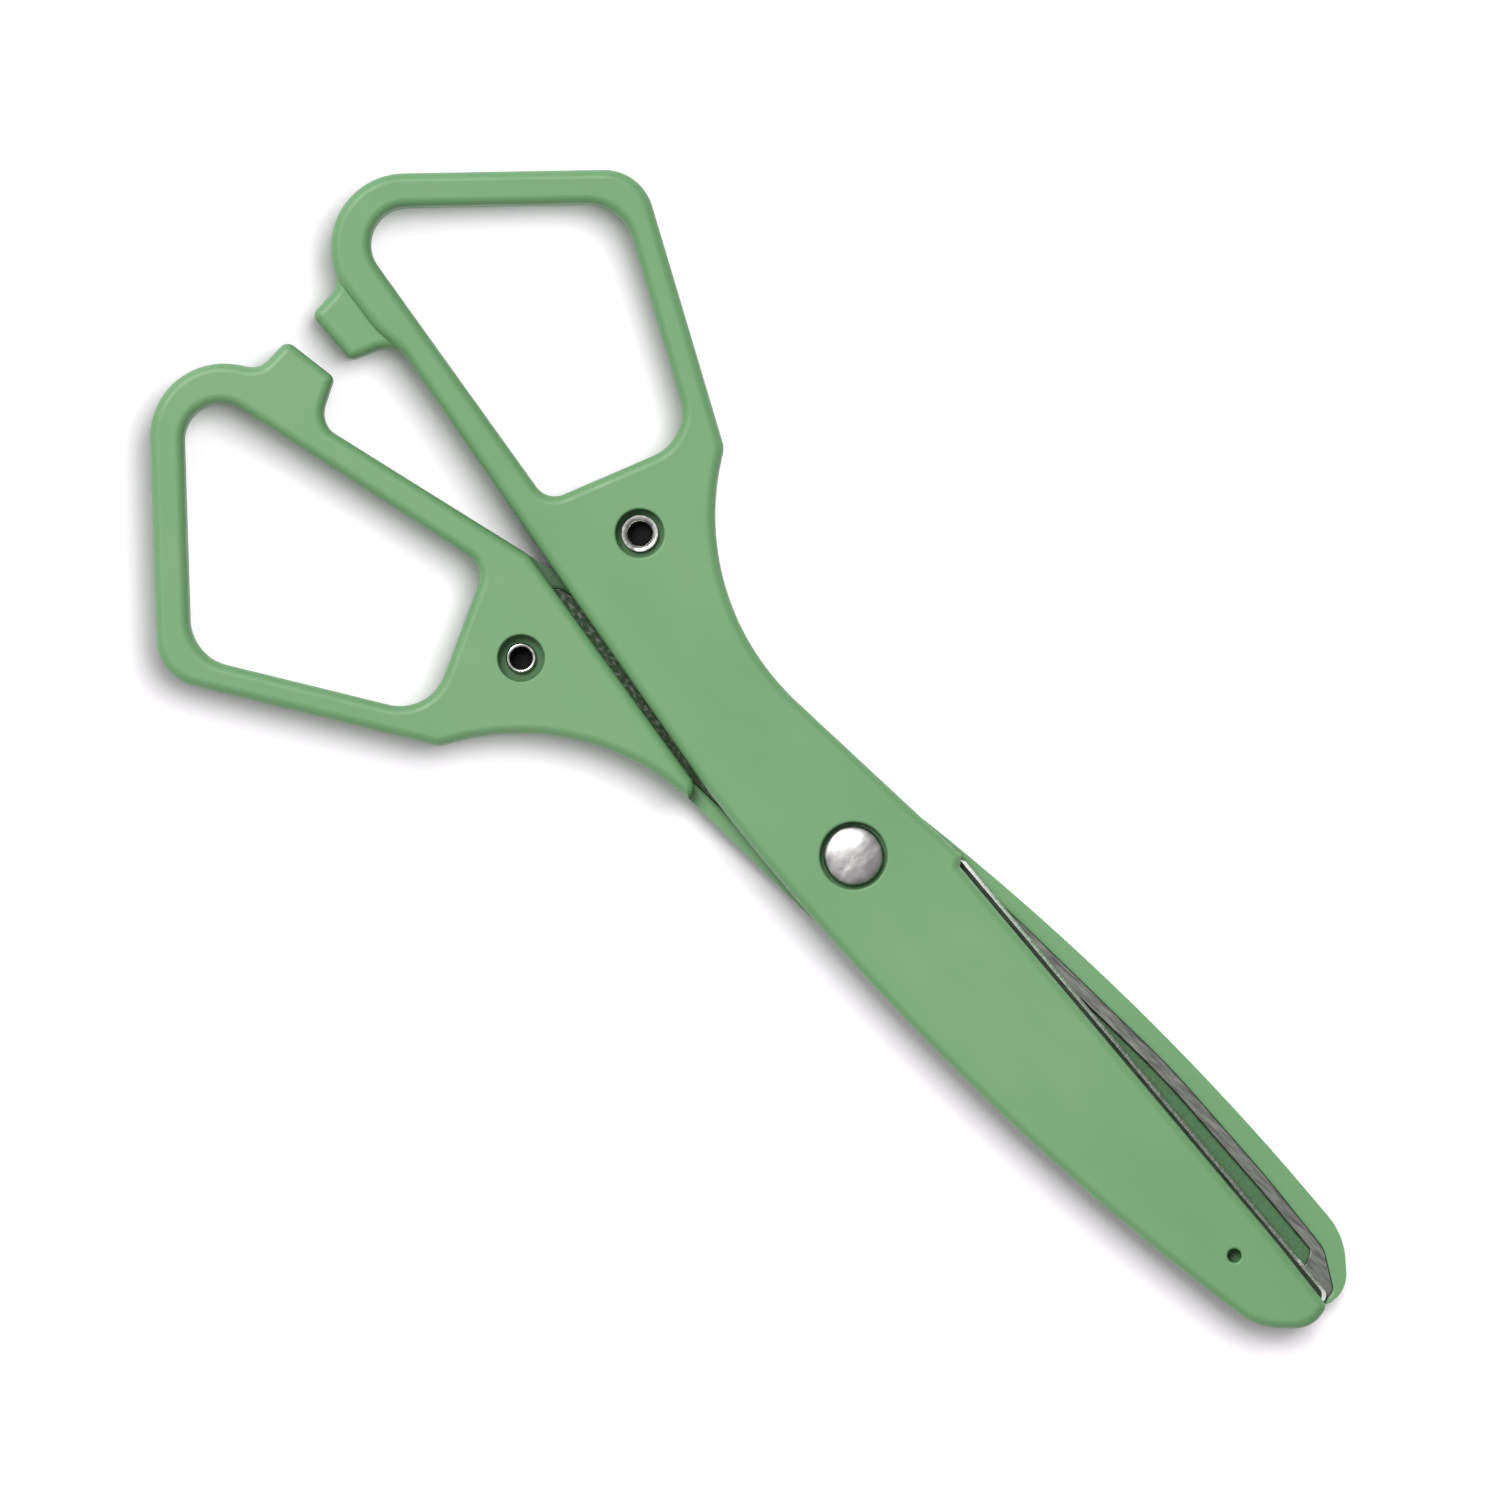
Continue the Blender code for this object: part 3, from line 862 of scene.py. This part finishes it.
def shaded_back_steel():
    """Back of the steel, painted near black as shade in the strip where the moulding doesn't cover
    it.
    """
    result, tree, shader = new_material("shaded_back_steel", 0.6)
    scale = noise(tree, scale=1, detail=4, stretch=(2600, 700, 2600), turn=LENGTHWISE)
    # Near-black painted shade for the strip of steel beside the moulding's edge.
    tint = colours(tree, scale, ((0.35, (0.012, 0.020, 0.012)), (0.70, (0.055, 0.070, 0.050))))
    tree.links.new(tint, shader.inputs["Base Color"])
    tree.links.new(between(tree, scale, 0.55, 0.75), shader.inputs["Roughness"])
    bumps(tree, shader, ((scale, 0.3, 0.00003),))
    return result


def polished_steel():
    """Polished rivet head with faint dull smears."""
    result, tree, shader = new_material("polished_steel", 1.0)
    smears = noise(tree, scale=620, detail=3, stretch=(0.7, 1.5, 1))
    tint = colours(tree, smears, ((0.38, (0.42, 0.405, 0.405)), (0.60, (0.68, 0.665, 0.66))))
    tree.links.new(tint, shader.inputs["Base Color"])
    tree.links.new(between(tree, smears, 0.27, 0.38), shader.inputs["Roughness"])
    bumps(tree, shader, ((smears, 0.15, 0.00004),))
    return result


def eyelet_nickel():
    """Nickel-plated eyelet, pressed and slightly uneven."""
    result, tree, shader = new_material("eyelet_nickel", 1.0)
    press = noise(tree, scale=1500, detail=3)
    tint = colours(tree, press, ((0.35, (0.40, 0.39, 0.38)), (0.65, (0.78, 0.77, 0.75))))
    tree.links.new(tint, shader.inputs["Base Color"])
    tree.links.new(between(tree, press, 0.14, 0.26), shader.inputs["Roughness"])
    bumps(tree, shader, ((press, 0.25, 0.00003),))
    return result


def shaded_bore():
    """Inside of the eyelet's tube, unplated, painted near black as shade."""
    result, tree, shader = new_material("shaded_bore", 0.0)
    shader.inputs["Specular IOR Level"].default_value = 0.15
    bore_shade_noise = noise(tree, scale=1800, detail=4)
    # Near-black painted shade for the hole through the eyelet.
    tint = colours(tree, bore_shade_noise, ((0.35, (0.003, 0.003, 0.003)), (0.70, (0.012, 0.012, 0.011))))
    tree.links.new(tint, shader.inputs["Base Color"])
    tree.links.new(between(tree, bore_shade_noise, 0.65, 0.85), shader.inputs["Roughness"])
    bumps(tree, shader, ((bore_shade_noise, 0.3, 0.00003),))
    return result


# ---------------------------------------------------------------- assembly

def place(name, mesh, finishes, body, node, slot):
    """Piece of the model on a body, in metres, in place of a CAD node.

    Pieces whose name starts with rear are turned over.
    """
    piece = bpy.data.objects.new(name, mesh.copy())
    piece.data.name = name
    to_metres = Matrix.Diagonal((MM, MM, MM, 1))
    over = Matrix.Rotation(math.pi, 4, "Y") if name.startswith("rear") else Matrix.Identity(4)
    piece.data.transform(Matrix.Translation(PIVOT) @ over @ to_metres)
    finish_of = [face.material_index for face in piece.data.polygons]
    piece.data.materials.clear()
    for finish in finishes:
        piece.data.materials.append(finish)
    piece.data.polygons.foreach_set("material_index", finish_of)
    piece.data.shade_smooth()
    piece.data.set_sharp_from_angle(angle=SHARP_ANGLE)
    bpy.context.scene.collection.objects.link(piece)
    weighted = piece.modifiers.new("even_faces", "WEIGHTED_NORMAL")
    weighted.keep_sharp = True
    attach(piece, body)
    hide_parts(node)
    return piece


def add_scissors():
    """All eight pieces. Returns them."""
    green = (green_plastic(), shaded_rough_plastic())
    steel = (blade_steel(), ground_highlight_steel(), shaded_back_steel())
    nickel = (eyelet_nickel(), shaded_bore())
    polished = (polished_steel(),)
    twins = (
        ("moulding", "half", moulding_mesh(), green, "green_plastic"),
        ("steel", "blade", blade_mesh(), steel, "blade_steel"),
        ("ring", "eyelet", eyelet_mesh(), nickel, "eyelet_nickel"),
    )
    head = rivet_mesh(stem_profile(), STEM_RADIUS, FRONT_KNOCKS)
    cap = rivet_mesh(barrel_profile(), BARREL_RADIUS, REAR_KNOCKS)
    pieces = []
    for side in ("front", "rear"):
        for name, node, mesh, finishes, slot in twins:
            pieces.append(place(side + "_" + name, mesh, finishes, side, side + "_" + node, slot))
    pieces.append(place("front_rivet", head, polished, "rear", "pivot_rivet", "polished_steel"))
    pieces.append(place("rear_rivet", cap, polished, "rear", "pivot_rivet_cap", "polished_steel"))
    return pieces


# ---------------------------------------------------------------- stage

# View: turn about the vertical, offset of its centre from the pivot, width in plan, and height of
# the camera and its clipping distances in metres.
VIEW_OFFSET = (-0.49, -14.0)
VIEW_TURN = math.radians(133.6)
VIEW_RIGHT = Vector((math.cos(VIEW_TURN), math.sin(VIEW_TURN), 0))
VIEW_UP = Vector((-math.sin(VIEW_TURN), math.cos(VIEW_TURN), 0))
VIEW_CENTRE = Vector((*VIEW_OFFSET, 0)) * MM + Vector((PIVOT.x, PIVOT.y, 0))
VIEW_WIDTH = 142.5 * MM
VIEW_HEIGHT = 1.6
VIEW_NEAR = 0.1
VIEW_FAR = 20

# Floor, just clear of the underside. Its white has a little less green.
FLOOR_SIZE = 3.0
FLOOR_DROP = 0.05 * MM
FLOOR_COLOUR = (0.93, 0.885, 0.93)

# Surroundings: tilt of their bright part towards the handles, strength, and grey by height.
WORLD_TILT = math.radians(30)
WORLD_STRENGTH = 0.85
WORLD_GREYS = ((0.0, 0.30), (0.30, 0.38), (0.65, 0.62), (0.85, 0.84), (1.0, 0.92))

# Softboxes: metres to the view's right, up and above the floor, side length and power in watts.
SHADOW_KEY = (0.16, 0.16, 0.62, 0.38, 4.2)
PRODUCT_KEY = (-0.42, 0.70, 1.45, 0.80, 23.0)


def add_camera():
    """Long lens straight above the scissors, turned so that the tips point down to the right."""
    data = bpy.data.cameras.new("camera")
    data.lens = data.sensor_width * VIEW_HEIGHT / VIEW_WIDTH
    data.clip_start = VIEW_NEAR
    data.clip_end = VIEW_FAR
    camera = bpy.data.objects.new("camera", data)
    camera.location = VIEW_CENTRE + Vector((0, 0, VIEW_HEIGHT))
    camera.rotation_euler = (0, 0, VIEW_TURN)
    bpy.context.scene.collection.objects.link(camera)
    bpy.context.scene.camera = camera


def add_floor():
    """Plain white floor. Returns it."""
    bm = bmesh.new()
    bmesh.ops.create_grid(bm, x_segments=1, y_segments=1, size=FLOOR_SIZE / 2)
    floor = working_object("floor", bm)
    floor.location.z = -FLOOR_DROP
    white, _, shader = new_material("floor_white", 0.0)
    shader.inputs["Base Color"].default_value = (*FLOOR_COLOUR, 1)
    shader.inputs["Roughness"].default_value = 0.9
    shader.inputs["Specular IOR Level"].default_value = 0.1
    floor.data.materials.append(white)
    return floor


def add_softbox(name, settings, receivers):
    """Square area light aimed at the scissors, which lights only the receivers."""
    right, up, height, size, power = settings
    data = bpy.data.lights.new(name, "AREA")
    data.shape = "SQUARE"
    data.size = size
    data.energy = power
    light = bpy.data.objects.new(name, data)
    light.location = VIEW_CENTRE + right * VIEW_RIGHT + up * VIEW_UP + Vector((0, 0, height))
    aim = VIEW_CENTRE - light.location
    light.rotation_euler = aim.to_track_quat("-Z", "Y").to_euler()
    bpy.context.scene.collection.objects.link(light)
    group = bpy.data.collections.new(name + "_receivers")
    for obj in receivers:
        group.objects.link(obj)
    light.light_linking.receiver_collection = group


def add_world():
    """Studio surroundings: bright overhead and behind the handles, dim beyond the tips."""
    world = bpy.data.worlds.new("studio")
    world.use_nodes = True
    bpy.context.scene.world = world
    tree = world.node_tree
    background = tree.nodes["Background"]
    coords = tree.nodes.new("ShaderNodeTexCoord")
    turn = tree.nodes.new("ShaderNodeMapping")
    turn.inputs["Rotation"].default_value = (-WORLD_TILT, 0, 0)
    axes = tree.nodes.new("ShaderNodeSeparateXYZ")
    tree.links.new(coords.outputs["Generated"], turn.inputs["Vector"])
    tree.links.new(turn.outputs["Vector"], axes.inputs["Vector"])
    stops = [(height, (grey, grey, grey)) for height, grey in WORLD_GREYS]
    sky = colours(tree, axes.outputs["Z"], stops)
    tree.links.new(sky, background.inputs["Color"])
    background.inputs["Strength"].default_value = WORLD_STRENGTH


def write_sizes():
    """Brings the view layer up to date."""
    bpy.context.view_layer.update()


add_camera()
scissors = add_scissors()
backdrop = add_floor()
add_world()
add_softbox("shadow_key", SHADOW_KEY, [backdrop])
add_softbox("product_key", PRODUCT_KEY, scissors)
bpy.context.scene.view_settings.view_transform = "Standard"
write_sizes()
